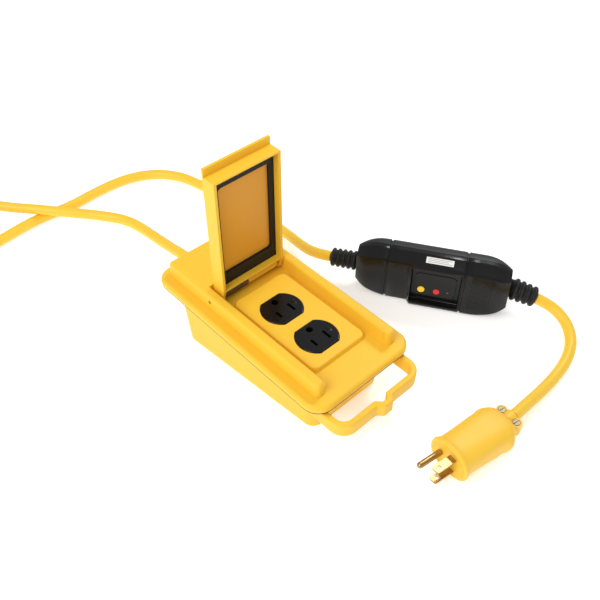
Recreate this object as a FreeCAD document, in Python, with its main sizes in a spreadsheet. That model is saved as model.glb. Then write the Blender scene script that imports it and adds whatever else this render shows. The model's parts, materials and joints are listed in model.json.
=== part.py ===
import FreeCAD, Part
import math
import os
import Sketcher

# Portable power distribution box: a drafted tub with a fixed carrying handle,
# a cover with two raised rails and a rear deck, a sprung lid over a duplex
# receptacle, and a cordset with an inline ground fault module and a plug.
# Frame: +Z up from the floor, +Y to the cord end, +X to the right seen from
# the handle end, origin below the middle of the cover's width, under the
# point halfway between the two outlets.  Millimetres.

Vector = FreeCAD.Vector
Rotation = FreeCAD.Rotation
Placement = FreeCAD.Placement

DRIVING_SIZES = {
    # cover
    "cover_half": 50.0, "cover_front": 70.0, "cover_rear": 122.0, "cover_corner": 14.0,
    "cover_low": 45.5, "apron_top": 51.0, "wall": 2.5, "cover_edge": 3.2,
    "deck_top": 63.4, "deck_half": 40.8, "deck_rear": 115.0, "deck_front": 68.8,
    "rail_inner": 31.3, "rail_front": 60.0, "rail_round": 2.4, "rail_draft": 4.0, "rail_end": 3.4,
    "pad_half": 27.4, "pad_front": 43.0, "pad_rear": 50.8, "pad_top": 55.2, "pad_corner": 6.0,
    "pad_draft": 14.0, "pad_edge": 1.3, "pad_plate": 2.8,
    # tub and handle
    "tub_front_low": 51.0, "tub_rear_low": 90.5, "tub_half_front": 35.7, "tub_half_rear": 46.4,
    "tub_lean": 3.77, "tub_corner": 9.0, "tub_edge": 3.0, "flange_gap": 0.2, "seal_thick": 0.5,
    "handle_half": 42.0, "handle_front": 87.7, "handle_thick": 5.0, "handle_low": 29.0,
    "handle_tall": 12.5, "handle_soft": 1.6, "handle_round": 13.0, "notch_half": 8.0, "notch_deep": 4.4,
    "notch_round": 2.2,
    # lid and hinge
    "pin_y": 60.5, "pin_z": 57.5, "pin_radius": 1.5, "pin_fit": 0.06, "ear_radius": 4.2, "barrel_radius": 3.0,
    "lid_half": 30.4, "lid_wall": 2.3, "lid_skin": 2.3, "lid_back": 7.8, "lid_deep": 5.9,
    "lid_reach": 109.5, "lip_reach": 6.5, "hinge_wall": 7.2, "hinge_wall_thick": 1.3,
    "gasket_width": 4.6, "gasket_head": 9.0, "gasket_foot": 10.9, "gasket_face": 0.3, "gasket_deep": 2.4,
    "spring_left": 27.4, "spring_right": 5.0, "spring_radius": 3.1, "spring_wire": 0.55, "spring_pitch": 1.6,
    # receptacle, a standard duplex
    "outlet_shift": 2.5, "outlet_pitch": 38.9, "face_radius": 16.8, "face_flat": 14.1, "face_top": 56.0,
    "face_gap": 0.3, "blade_pitch": 12.7, "ground_offset": 11.9, "yoke_top": 48.2, "yoke_thick": 1.3,
    "yoke_hole_pitch": 83.3,
    # cord
    "cord_radius": 4.7, "lead_radius": 1.3, "coil_radius": 46.0, "coil_turns": 2.64,
    # ground fault module
    "module_line_end": 63.5, "module_load_end": 67.0,
}

doc = FreeCAD.newDocument("PowerBox")


class Size:
    """A length with both its number and the spreadsheet expression behind it."""

    def __init__(self, number, text=None):
        self.number = float(number)
        self.text = text if text else repr(float(number))

    def joined(self, other, sign, number):
        return Size(number, "(%s %s %s)" % (self.text, sign, as_size(other).text))

    def __add__(self, other):
        return self.joined(other, "+", self.number + as_size(other).number)

    def __sub__(self, other):
        return self.joined(other, "-", self.number - as_size(other).number)

    def __mul__(self, other):
        return self.joined(other, "*", self.number * as_size(other).number)

    def __truediv__(self, other):
        return self.joined(other, "/", self.number / as_size(other).number)

    def __radd__(self, other):
        return as_size(other) + self

    def __rsub__(self, other):
        return as_size(other) - self

    def __rmul__(self, other):
        return as_size(other) * self

    def __neg__(self):
        return as_size(-1) * self


def as_size(value):
    return value if isinstance(value, Size) else Size(value)


class Sizes:
    """The driving sizes by name, such as s.cover_half."""


def write_sheet():
    sheet = doc.addObject("Spreadsheet::Sheet", "Sheet")
    sizes = Sizes()
    for row, (name, number) in enumerate(DRIVING_SIZES.items(), start=1):
        sheet.set("A%d" % row, name)
        sheet.set("B%d" % row, str(number))
        sheet.setAlias("B%d" % row, name)
        setattr(sizes, name, Size(number, "Sheet." + name))
    doc.recompute()
    return sizes


s = write_sheet()
parts = {}


def bind(item, prop, size):
    item.setExpression(prop, as_size(size).text)


def keep(name, item):
    """Record a finished sub-part under the name of its file."""
    item.Label = name
    parts[name] = item
    return item


# ---------------------------------------------------------------- sketches

def constrain_point(sketch, line, name, along, value):
    """Hold the start of a line at a bound distance from the sketch origin."""
    size = as_size(value)
    if size.text == "0.0":
        axis = -2 if along == "X" else -1
        sketch.addConstraint(Sketcher.Constraint("PointOnObject", line, 1, axis))
        return
    index = sketch.addConstraint(Sketcher.Constraint("Distance" + along, -1, 1, line, 1, size.number))
    sketch.renameConstraint(index, name + along.lower())
    bind(sketch, "Constraints." + name + along.lower(), size)


def draw_polygon(sketch, points, tag="p"):
    first = sketch.GeometryCount
    flat = [Vector(as_size(x).number, as_size(y).number, 0) for x, y in points]
    for here, there in zip(flat, flat[1:] + flat[:1]):
        sketch.addGeometry(Part.LineSegment(here, there), False)
    for number in range(len(points)):
        following = first + (number + 1) % len(points)
        sketch.addConstraint(Sketcher.Constraint("Coincident", first + number, 2, following, 1))
    for number, (x, y) in enumerate(points):
        constrain_point(sketch, first + number, "%s%d" % (tag, number), "X", x)
        constrain_point(sketch, first + number, "%s%d" % (tag, number), "Y", y)


# ------------------------------------------------------ PartDesign features

def new_body(name):
    return doc.addObject("PartDesign::Body", name)


def body_sketch(body, name, role, offset=0.0):
    """An empty sketch on one of the body's own origin planes, moved along its normal."""
    sketch = body.newObject("Sketcher::SketchObject", name)
    plane = [item for item in body.Origin.OriginFeatures if item.Role == role][0]
    sketch.AttachmentSupport = (plane, [""])
    sketch.MapMode = "FlatFace"
    bind(sketch, "AttachmentOffset.Base.z", offset)
    return sketch


def pad(body, name, sketch, length, taper=None):
    feature = body.newObject("PartDesign::Pad", name)
    feature.Profile = sketch
    bind(feature, "Length", length)
    if taper is not None:
        bind(feature, "TaperAngle", -as_size(taper))
    doc.recompute()
    return feature


def pocket_up(body, name, sketch, length):
    """Cut upward from the sketch and make sure that it removed material."""
    before = body.Shape.Volume
    feature = body.newObject("PartDesign::Pocket", name)
    feature.Profile = sketch
    feature.Reversed = True
    bind(feature, "Length", length)
    doc.recompute()
    if body.Shape.Volume > before - 1.0:
        raise RuntimeError("%s cuts nothing" % name)
    return feature


def round_body(body, name, radius, chosen):
    """Fillet the edges of the body's tip that the test picks."""
    tip = body.Tip
    names = ["Edge%d" % (number + 1) for number, edge in enumerate(tip.Shape.Edges) if chosen(edge)]
    feature = body.newObject("PartDesign::Fillet", name)
    feature.Base = (tip, names)
    bind(feature, "Radius", radius)
    doc.recompute()
    return feature


def spun_body(name, outline):
    """A body turned about its own X axis from (along, radius) points."""
    body = new_body(name)
    sketch = body_sketch(body, name + "_profile", "XY_Plane")
    draw_polygon(sketch, outline)
    spin = body.newObject("PartDesign::Revolution", name + "_turned")
    spin.Profile = sketch
    spin.ReferenceAxis = (sketch, ["H_Axis"])
    spin.Angle = 360.0
    doc.recompute()
    return body


# ------------------------------------------------------------ edge choices

def edge_is_upright(edge):
    span = edge.BoundBox
    return span.XLength < 4 and span.YLength < 4 and span.ZLength > 2


def edge_at_height(edge, height):
    span = edge.BoundBox
    return span.ZLength < 0.01 and abs(span.ZMin - as_size(height).number) < 0.01


def middle_of(edge):
    return edge.BoundBox.Center


# ---------------------------------------------------- Part primitives

AXIS_TURN = {
    "x": Rotation(Vector(0, 1, 0), 90),
    "y": Rotation(Vector(1, 0, 0), -90),
    "z": Rotation(),
}


def place_base(item, corner):
    for letter, value in zip("xyz", corner):
        bind(item, "Placement.Base." + letter, value)


def box(name, low, high):
    """A block between two opposite corners."""
    item = doc.addObject("Part::Box", name)
    for prop, near, far in zip(("Length", "Width", "Height"), low, high):
        bind(item, prop, as_size(far) - near)
    place_base(item, low)
    return item


def rod(name, axis, start, radius, length):
    """A cylinder that runs from its start along +x, +y or +z."""
    item = doc.addObject("Part::Cylinder", name)
    item.Placement = Placement(Vector(), AXIS_TURN[axis])
    bind(item, "Radius", radius)
    bind(item, "Height", length)
    place_base(item, start)
    return item


def cone(name, axis, start, near_radius, far_radius, length):
    item = doc.addObject("Part::Cone", name)
    item.Placement = Placement(Vector(), AXIS_TURN[axis])
    bind(item, "Radius1", near_radius)
    bind(item, "Radius2", far_radius)
    bind(item, "Height", length)
    place_base(item, start)
    return item


def prism(name, plane, points, offset, length):
    """A polygon extruded along the normal of its plane: XY up, YZ to +X, XZ to +Y."""
    sketch = doc.addObject("Sketcher::SketchObject", name + "_outline")
    turns = {"XY": Rotation(), "YZ": Rotation(0.5, 0.5, 0.5, 0.5), "XZ": Rotation(Vector(1, 0, 0), 90)}
    normals = {"XY": Vector(0, 0, 1), "YZ": Vector(1, 0, 0), "XZ": Vector(0, 1, 0)}
    letter = {"XY": "z", "YZ": "x", "XZ": "y"}[plane]
    sketch.Placement = Placement(Vector(), turns[plane])
    bind(sketch, "Placement.Base." + letter, offset)
    draw_polygon(sketch, points)
    item = doc.addObject("Part::Extrusion", name)
    item.Base = sketch
    item.DirMode = "Custom"
    item.Dir = normals[plane]
    bind(item, "LengthFwd", length)
    item.Solid = True
    return item


def fuse(name, items):
    item = doc.addObject("Part::MultiFuse", name)
    item.Shapes = items
    item.Refine = True
    return item


def group(name, items):
    """Separate identical solids in one node, such as a set of screws."""
    item = doc.addObject("Part::Compound", name)
    item.Links = items
    return item


def common(name, items):
    item = doc.addObject("Part::MultiCommon", name)
    item.Shapes = items
    return item


def cut(name, base, tools):
    item = doc.addObject("Part::Cut", name)
    item.Base = base
    item.Tool = tools[0] if len(tools) == 1 else fuse(name + "_tools", tools)
    return item


def rounded(name, base, radius, chosen):
    doc.recompute()
    item = doc.addObject("Part::Fillet", name)
    item.Base = base
    size = as_size(radius).number
    item.Edges = [(n + 1, size, size) for n, edge in enumerate(base.Shape.Edges) if chosen(edge)]
    return item


def rectangle(half_width, front, rear):
    return [(-half_width, front), (half_width, front), (half_width, rear), (-half_width, rear)]


def deck_outline(inset, rear_wall):
    """The raised deck and its two rails seen from above, drawn smaller by an inset."""
    outer = s.deck_half - inset
    inner = s.rail_inner + inset
    front = -s.rail_front + inset
    rear = s.deck_rear - inset
    throat = s.deck_front + rear_wall
    return [(-outer, front), (-inner, front), (-inner, throat), (inner, throat),
            (inner, front), (outer, front), (outer, rear), (-outer, rear)]


def outlet_openings(name, gap, low, length):
    """Two round openings with flat ends, one for each outlet face."""
    openings = []
    for side in (-1, 1):
        middle = side * s.outlet_pitch / 2
        disc = rod("%s_disc%d" % (name, side), "z", (-s.outlet_shift, middle, low), s.face_radius + gap, length)
        flat_low = (-s.outlet_shift - 25, middle - s.face_flat - gap, low)
        flat_high = (-s.outlet_shift + 25, middle + s.face_flat + gap, low + length)
        openings.append(common("%s_face%d" % (name, side),
                               [disc, box("%s_flats%d" % (name, side), flat_low, flat_high)]))
    return openings


SCREW_SPOTS = [(-34.5, -56.0), (34.5, -56.0), (-34.5, 105.0), (34.5, 105.0)]


def make_cover():
    plate_low = s.apron_top - s.wall
    body = new_body("cover_shell")
    outline = body_sketch(body, "cover_outline", "XY_Plane", s.cover_low)
    draw_polygon(outline, rectangle(s.cover_half, -s.cover_front, s.cover_rear))
    pad(body, "cover_block", outline, s.apron_top - s.cover_low)
    round_body(body, "cover_corners", s.cover_corner, edge_is_upright)
    round_body(body, "cover_rim", s.cover_edge, lambda edge: edge_at_height(edge, s.apron_top))

    deck = body_sketch(body, "deck_outline", "XY_Plane", s.apron_top)
    draw_polygon(deck, deck_outline(0.0, 0.0))
    pad(body, "deck_and_rails", deck, s.deck_top - s.apron_top, s.rail_draft)
    round_body(body, "deck_uprights", s.rail_end,
               lambda edge: abs(edge.BoundBox.ZMax - s.deck_top.number) < 0.01 and edge.BoundBox.ZLength > 5
               and (edge.BoundBox.YMin < -50 or edge.BoundBox.YMin > 100))
    round_body(body, "deck_rim", s.rail_round,
               lambda edge: edge_at_height(edge, s.deck_top) and not deck_throat(edge))

    raised = body_sketch(body, "outlet_pad_outline", "XY_Plane", s.apron_top)
    draw_polygon(raised, rectangle(s.pad_half, -s.pad_front, s.pad_rear))
    pad(body, "outlet_pad", raised, s.pad_top - s.apron_top, s.pad_draft)
    round_body(body, "outlet_pad_corners", s.pad_corner,
               lambda edge: abs(edge.BoundBox.ZMax - s.pad_top.number) < 0.01 and edge.BoundBox.ZLength > 2)
    round_body(body, "outlet_pad_rim", s.pad_edge, lambda edge: edge_at_height(edge, s.pad_top))

    hollow = body_sketch(body, "deck_room_outline", "XY_Plane", plate_low)
    draw_polygon(hollow, deck_outline(s.wall, 2 * s.wall))
    pocket_up(body, "deck_room", hollow, s.deck_top - s.wall - plate_low)

    under = body_sketch(body, "outlet_room_outline", "XY_Plane", plate_low)
    draw_polygon(under, rectangle(s.pad_half - 3.4, as_size(-36.0), as_size(36.0)))
    pocket_up(body, "outlet_room", under, s.pad_top - s.pad_plate - plate_low)
    doc.recompute()

    skirt_low = (s.wall - s.cover_half, s.wall - s.cover_front, s.cover_low - 1)
    skirt_high = (s.cover_half - s.wall, s.cover_rear - s.wall, plate_low)
    skirt_room = rounded("skirt_room", box("skirt_room_block", skirt_low, skirt_high), s.cover_corner - s.wall,
                         edge_is_upright)
    openings = outlet_openings("cover_opening", s.face_gap, s.apron_top - 4, 12)
    bore = rod("hinge_bore", "x", (-s.cover_half, s.pin_y, s.pin_z), s.pin_radius, 2 * s.cover_half)
    pilots = [rod("yoke_pilot%d" % side, "z",
                  (-s.outlet_shift, side * s.yoke_hole_pitch / 2, plate_low - 1), 1.35, 3.3)
              for side in (-1, 1)]
    bosses = []
    boss_pilots = []
    for number, (x, y) in enumerate(SCREW_SPOTS):
        bosses.append(rod("cover_boss%d" % number, "z", (x, y, plate_low), 3.6,
                          s.deck_top - s.wall - plate_low))
        boss_pilots.append(rod("cover_pilot%d" % number, "z", (x, y, plate_low - 1), 1.35, 10))
    whole = fuse("cover_with_bosses", [body] + bosses)
    return keep("cover", cut("cover_cut", whole, [skirt_room] + openings + [bore] + pilots + boss_pilots))


def deck_throat(edge):
    """The deck's front edge and the two rail edges keep sharper rims beside the lid."""
    middle = middle_of(edge)
    return abs(middle.x) < 20 and abs(middle.y - s.deck_front.number) < 3


# --------------------------------------------------------------------- tub

def tub_outline(inset, spread):
    """The tub seen from above: it narrows toward the handle end."""
    front = -s.tub_front_low - spread + inset
    rear = s.tub_rear_low + spread - inset
    near = s.tub_half_front + spread - inset
    far = s.tub_half_rear + spread - inset
    return [(-near, front), (near, front), (far, rear), (-far, rear)]


def draft_sides(body, name, angle):
    """Lean the body's upright faces outward from the floor up."""
    tip = body.Tip
    sides = []
    floor = None
    for number, face in enumerate(tip.Shape.Faces):
        label = "Face%d" % (number + 1)
        if face.BoundBox.ZLength > 1:
            sides.append(label)
        elif face.BoundBox.ZMax < 0.01:
            floor = label
    feature = body.newObject("PartDesign::Draft", name)
    feature.Base = (tip, sides)
    feature.NeutralPlane = (tip, [floor])
    feature.Reversed = True
    bind(feature, "Angle", angle)
    doc.recompute()
    return feature


def handle_outline():
    """A flat strap round three sides, with a small forward notch to hang it by."""
    inner = s.handle_half - s.handle_thick
    front_inner = s.handle_thick - s.handle_front
    root = -46.0
    return [(s.handle_half, root), (s.handle_half, -s.handle_front), (s.notch_half, -s.handle_front),
            (s.notch_half - 4, -s.handle_front - s.notch_deep), (4 - s.notch_half,
                                                                 -s.handle_front - s.notch_deep),
            (-s.notch_half, -s.handle_front), (-s.handle_half, -s.handle_front), (-s.handle_half, root),
            (-inner, root), (-inner, front_inner), (2 - s.notch_half, front_inner),
            (6 - s.notch_half, front_inner - s.notch_deep), (s.notch_half - 6, front_inner - s.notch_deep),
            (s.notch_half - 2, front_inner), (inner, front_inner), (inner, root)]


def make_tub():
    flange_top = s.apron_top - s.wall - s.seal_thick
    body = new_body("base_tub_body")
    sole = body_sketch(body, "tub_outline", "XY_Plane")
    draw_polygon(sole, tub_outline(0.0, 0.0))
    pad(body, "tub_block", sole, s.cover_low)
    round_body(body, "tub_corners", s.tub_corner, edge_is_upright)
    draft_sides(body, "tub_draft", s.tub_lean)
    round_body(body, "tub_foot", s.tub_edge, lambda edge: edge_at_height(edge, 0.0))

    strap = body_sketch(body, "handle_outline", "XY_Plane", s.handle_low)
    draw_polygon(strap, handle_outline())
    pad(body, "handle", strap, s.handle_tall)
    bar_inner = s.handle_thick.number - s.handle_front.number
    round_body(body, "handle_corners", s.handle_round,
               lambda edge: on_handle_corner(edge, s.handle_half.number, -s.handle_front.number))
    round_body(body, "handle_inner_corners", s.handle_round - s.handle_thick,
               lambda edge: on_handle_corner(edge, s.handle_half.number - s.handle_thick.number, bar_inner))

    round_body(body, "handle_notch", s.notch_round, on_notch)
    round_body(body, "handle_edges", s.handle_soft,
               lambda edge: (edge_at_height(edge, s.handle_low) or edge_at_height(edge,
                   s.handle_low + s.handle_tall))
               and edge.BoundBox.YMax < -56)

    flange = body_sketch(body, "flange_outline", "XY_Plane", s.cover_low)
    reach = s.wall + s.flange_gap
    draw_polygon(flange, rectangle(s.cover_half - reach, reach - s.cover_front, s.cover_rear - reach))
    pad(body, "flange", flange, flange_top - s.cover_low)
    round_body(body, "flange_corners", s.cover_corner - reach,
               lambda edge: edge_is_upright(edge) and edge.BoundBox.ZMin > s.cover_low.number - 0.01
               and abs(middle_of(edge).x) > 45)

    room = body_sketch(body, "tub_room_outline", "XY_Plane", s.wall)
    draw_polygon(room, tub_outline(s.wall + 1.2, 0.0))
    pocket_up(body, "tub_room", room, flange_top - s.wall + 1)
    round_body(body, "tub_room_corners", s.tub_corner - s.wall,
               lambda edge: edge.BoundBox.ZLength > 40 and abs(edge.BoundBox.ZMin - s.wall.number) < 0.1)
    doc.recompute()
    inlet = rod("cord_inlet", "y", (0, s.tub_rear_low - 8, 25), 6.6, 20)
    holes = [rod("flange_hole%d" % number, "z", (x, y, s.cover_low - 2), 1.9, 8)
             for number, (x, y) in enumerate(SCREW_SPOTS)]
    return keep("base_tub", cut("base_tub_cut", body, [inlet] + holes))


def on_handle_corner(edge, half, front):
    middle = middle_of(edge)
    return edge_is_upright(edge) and abs(abs(middle.x) - half) < 0.1 and abs(middle.y - front) < 0.1


def on_notch(edge):
    """The upright edges where the bar steps forward at its middle."""
    return edge_is_upright(edge) and abs(middle_of(edge).x) < s.notch_half.number + 0.1 and edge.BoundBox.YMax < -80


def make_seal():
    """The flat gasket between the tub's flange and the underside of the cover."""
    low = s.apron_top - s.wall - s.seal_thick
    reach = s.wall + s.flange_gap
    outer = box("seal_outer", (reach - s.cover_half, reach - s.cover_front + 6, low),
                (s.cover_half - reach, s.cover_rear - reach - 6, low + s.seal_thick))
    inner = box("seal_inner", (as_size(-41.5), as_size(-52.5), low - 1),
                (as_size(41.5), as_size(92.0), low + 2))
    rounded_outer = rounded("seal_rounded", outer, 8.0,
                            lambda edge: edge.BoundBox.XLength < 0.01 and edge.BoundBox.YLength < 0.01)
    holes = [rod("seal_hole%d" % number, "z", (x, y, low - 1), 4.0, 3) for number,
             (x, y) in enumerate(SCREW_SPOTS)]
    return keep("cover_seal", cut("seal_ring", rounded_outer, [inner] + holes))


def make_screw(name, x, y, low, shank_radius, shank_long, head_radius, head_tall):
    """A pan-head screw pointing up, its head's lower face at the given height."""
    head = rod(name + "_head", "z", (x, y, low), head_radius, head_tall)
    shank = rod(name + "_shank", "z", (x, y, low + head_tall), shank_radius, shank_long)
    slot_one = box(name + "_slot_one", (x - head_radius * 0.6, y - 0.35, low - 0.1),
                   (x + head_radius * 0.6, y + 0.35, low + 0.9))
    slot_two = box(name + "_slot_two", (x - 0.35, y - head_radius * 0.6, low - 0.1),
                   (x + 0.35, y + head_radius * 0.6, low + 0.9))
    return cut(name, fuse(name + "_solid", [head, shank]), [slot_one, slot_two])


def make_cover_screws():
    screws = [make_screw("cover_screw%d" % number, as_size(x), as_size(y), s.cover_low - 2.0, as_size(1.35),
                         as_size(9.5),
                         as_size(3.0), as_size(2.0)) for number, (x, y) in enumerate(SCREW_SPOTS)]
    return keep("cover_screws", group("cover_screw_set", screws))


# --------------------------------------------------------------------- lid

def make_lid():
    """The lid stands open: its skin is at the back and its walls reach forward."""
    back = s.pin_y + s.lid_back
    skin_front = back - s.lid_skin
    front = s.pin_y - s.lid_deep
    top = s.pin_z + s.lid_reach
    foot = s.pin_z + s.hinge_wall
    skin = box("lid_skin_plate", (-s.lid_half, skin_front, s.pin_z), (s.lid_half, back, top + s.lip_reach))
    end_wall = box("lid_end_wall", (-s.lid_half, front, top - s.hinge_wall_thick),
                   (s.lid_half, back - 0.5, top))
    hinge_wall = box("lid_hinge_wall", (-s.lid_half, front, foot),
                     (s.lid_half, back - 0.5, foot + s.hinge_wall_thick))
    side_profile = [(front, foot), (s.pin_y - s.ear_radius, s.pin_z), (s.pin_y + s.ear_radius, s.pin_z),
                    (back - 0.5, s.pin_z), (back - 0.5, top), (front, top)]
    pieces = [skin, end_wall, hinge_wall]
    for side in (-1, 1):
        start = -s.lid_half if side < 0 else s.lid_half - s.lid_wall
        pieces.append(prism("lid_side%d" % side, "YZ", side_profile, start, s.lid_wall))
        pieces.append(rod("lid_ear%d" % side, "x", (start, s.pin_y, s.pin_z), s.ear_radius, s.lid_wall))
    barrel_left = -s.spring_right + 2
    barrel_right = s.lid_half - s.lid_wall - 1.2
    pieces.append(rod("lid_barrel", "x", (barrel_left, s.pin_y, s.pin_z), s.barrel_radius,
                      barrel_right - barrel_left))
    pieces.append(box("lid_barrel_web", (barrel_left, s.pin_y - 0.6, s.pin_z),
                      (barrel_right, s.pin_y + 2.4, foot + 0.5)))
    shell = rounded("lid_shell", fuse("lid_solid", pieces), 1.1,
                    lambda edge: edge.BoundBox.XLength < 0.01 and edge.BoundBox.YLength < 0.01
                    and edge.BoundBox.ZLength > 60 and abs(middle_of(edge).y - back.number) < 0.1)
    bore = rod("lid_bore", "x", (-s.cover_half, s.pin_y, s.pin_z), s.pin_radius + s.pin_fit, 2 * s.cover_half)
    return keep("lid", cut("lid_cut", shell, [bore]))


def make_lid_gasket():
    """A rectangular rubber frame seated inside the lid's walls, open over the inner panel."""
    side = s.lid_half - s.lid_wall - 0.05
    face = s.pin_y - s.gasket_face
    low = s.pin_z + s.hinge_wall + s.hinge_wall_thick + 0.05
    high = s.pin_z + s.lid_reach - s.hinge_wall_thick - 0.05
    outer = box("gasket_outer", (-side, face, low), (side, face + s.gasket_deep, high))
    inner = box("gasket_inner", (s.gasket_width - side, face - 1, low + s.gasket_foot),
                (side - s.gasket_width, face + s.gasket_deep + 1, high - s.gasket_head))
    window = rounded("gasket_window", inner, 3.0, lambda edge: edge.BoundBox.YLength > 3)
    return keep("lid_gasket", cut("gasket_frame", outer, [window]))


def make_lid_panel():
    """The smooth inner panel that backs the gasket."""
    side = s.lid_half - s.lid_wall - 0.05
    face = s.pin_y - s.gasket_face + s.gasket_deep
    low = s.pin_z + s.hinge_wall + s.hinge_wall_thick + 0.05
    high = s.pin_z + s.lid_reach - s.hinge_wall_thick - 0.05
    return keep("lid_panel", box("inner_panel", (-side, face, low),
                                 (side, s.pin_y + s.lid_back - s.lid_skin, high)))


def make_hinge_pin():
    return keep("hinge_pin", rod("pin", "x", (-s.deck_half + 0.6, s.pin_y, s.pin_z), s.pin_radius,
                                 2 * s.deck_half - 1.2))


def make_spring():
    helix = doc.addObject("Part::Helix", "spring_line")
    bind(helix, "Pitch", s.spring_pitch)
    bind(helix, "Height", s.spring_left - s.spring_right)
    bind(helix, "Radius", s.spring_radius)
    wire = doc.addObject("Part::Circle", "spring_section")
    bind(wire, "Radius", s.spring_wire)
    wire.Placement = Placement(Vector(s.spring_radius.number, 0, 0), Rotation(Vector(1, 0, 0), 90))
    coil = doc.addObject("Part::Sweep", "spring_coil")
    coil.Sections = [wire]
    coil.Spine = (helix, [])
    coil.Solid = True
    coil.Frenet = True
    coil.Placement = Placement(Vector(-s.spring_left.number, s.pin_y.number, s.pin_z.number), AXIS_TURN["x"])
    return keep("lid_spring", coil)


# -------------------------------------------------------------- receptacle

def make_receptacle_face():
    """The black insulating face: a plate under the cover and two outlet faces."""
    x = -s.outlet_shift
    low = s.yoke_top + 0.7
    plate = box("face_plate", (x - 17.5, as_size(-34.8), low), (x + 17.5, as_size(34.8), s.apron_top + 1))
    faces = []
    slots = []
    for side in (-1, 1):
        middle = side * s.outlet_pitch / 2
        disc = rod("outlet_disc%d" % side, "z", (x, middle, low), s.face_radius, s.face_top - low)
        flats = box("outlet_flats%d" % side, (x - 25, middle - s.face_flat, low),
                    (x + 25, middle + s.face_flat, s.face_top))
        outlet = common("outlet_face%d" % side, [disc, flats])
        faces.append(rounded("outlet_rim%d" % side, outlet, 0.9, lambda edge: edge_at_height(edge, s.face_top)))
        half_pitch = s.blade_pitch / 2
        slots.append(box("short_slot%d" % side, (x - half_pitch - 1.1, middle - 7.3, low - 1),
                         (x - half_pitch + 1.1, middle - 0.3, s.face_top + 1)))
        slots.append(box("long_slot%d" % side, (x + half_pitch - 1.1, middle - 8.2, low - 1),
                         (x + half_pitch + 1.1, middle + 0.6, s.face_top + 1)))
        slots.append(rod("ground_hole%d" % side, "z", (x, middle + 8.1, low - 1), 2.7, s.face_top - low + 2))
    return keep("receptacle_face", cut("face_cut", fuse("face_solid", [plate] + faces), slots))


def make_receptacle_yoke():
    x = -s.outlet_shift
    low = s.yoke_top - s.yoke_thick
    strap = rounded("yoke_strap", box("yoke_block", (x - 9, as_size(-47), low),
                                      (x + 9, as_size(47), s.yoke_top)),
                    3.0, lambda edge: edge.BoundBox.XLength < 0.01 and edge.BoundBox.YLength < 0.01)
    holes = [rod("yoke_hole%d" % side, "z", (x, side * s.yoke_hole_pitch / 2, low - 1), 1.9,
                 4) for side in (-1, 1)]
    window = box("yoke_window", (x - 7.6, as_size(-29.5), low - 1), (x + 7.6, as_size(29.5), s.yoke_top + 1))
    return keep("receptacle_yoke", cut("yoke_cut", strap, holes + [window]))


def make_receptacle_body():
    """The lower moulding that holds the contacts, hollow inside."""
    x = -s.outlet_shift
    low = s.yoke_top - s.yoke_thick - 23
    high = s.yoke_top - s.yoke_thick - 0.1
    block = box("body_block", (x - 16, as_size(-34), low), (x + 16, as_size(34), high))
    block = rounded("body_rounded", block, 2.5,
                    lambda edge: edge.BoundBox.XLength < 0.01 and edge.BoundBox.YLength < 0.01)
    rooms = [box("body_room%d" % number, (x + left, as_size(-30), low + 2.5),
                 (x + right, as_size(30), high + 1))
             for number, (left, right) in enumerate(((-13.4, -3.2), (3.2, 13.4), (-1.7, 1.7)))]
    rooms += [side_bore("body_bore%d" % number, side, as_size(y))
              for number, (side, y) in enumerate(((1, -19.45), (1, 19.45), (-1, -19.45), (-1, 19.45),
                                                  (-1, -31.0)))]
    return keep("receptacle_body", cut("body_cut", block, rooms))


def side_bore(name, side, y):
    """The hole a terminal screw's shank goes into."""
    start = -s.outlet_shift + 10 if side > 0 else -s.outlet_shift - 17
    return rod(name, "x", (start, y, s.yoke_top - 14), 1.65, 7)


def make_contact(name, side):
    """A folded strip with a pair of spring leaves for the blade of each outlet."""
    x = -s.outlet_shift + side * s.blade_pitch / 2
    low = s.yoke_top - s.yoke_thick - 17
    pieces = [box(name + "_rail", (x + side * 3.6 - 0.5, as_size(-27), low),
                  (x + side * 3.6 + 0.5, as_size(27), low + 8))]
    for outlet in (-1, 1):
        middle = outlet * s.outlet_pitch / 2 - 3.8
        for leaf in (-1, 1):
            start = x + leaf * 1.5 - 0.35
            pieces.append(box("%s_leaf%d%d" % (name, outlet, leaf), (start, middle - 3.2, low),
                              (start + 0.7, middle + 3.2, low + 15)))
        near = x - 1.85 if side > 0 else x - 4.1
        far = x + 4.1 if side > 0 else x + 1.85
        pieces.append(box("%s_foot%d" % (name, outlet), (near, middle - 3.2, low),
                          (far, middle + 3.2, low + 0.8)))
    return keep(name, fuse(name + "_strip", pieces))


def make_ground_contact():
    x = -s.outlet_shift
    low = s.yoke_top - s.yoke_thick - 17
    strip = box("ground_rail", (x - 1.2, as_size(-28.5), low), (x + 1.2, as_size(28.5), low + 0.9))
    pieces = [strip]
    for outlet in (-1, 1):
        middle = outlet * s.outlet_pitch / 2 + 8.1
        pieces.append(box("ground_leaf%d" % outlet, (x - 1.2, middle - 0.5, low),
                          (x + 1.2, middle + 0.5, low + 14)))
    return keep("contact_ground", fuse("ground_strip", pieces))


def make_side_screw(name, side, y, head_radius):
    """A terminal screw standing out of the side of the receptacle body."""
    z = s.yoke_top - 14
    wall_face = -s.outlet_shift + side * as_size(16)
    head_start = wall_face + 0.4 if side > 0 else wall_face - 2.4
    shank_start = wall_face - 4.5 if side > 0 else wall_face - 0.4
    head = rod(name + "_head", "x", (head_start, y, z), head_radius, 2.0)
    shank = rod(name + "_shank", "x", (shank_start, y, z), 1.6, 4.9)
    slot_start = head_start + 1.3 if side > 0 else head_start - 0.1
    slot = box(name + "_slot", (slot_start, y - 0.5, z - head_radius * 0.8),
               (slot_start + 0.8, y + 0.5, z + head_radius * 0.8))
    return cut(name, fuse(name + "_solid", [head, shank]), [slot])


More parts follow.
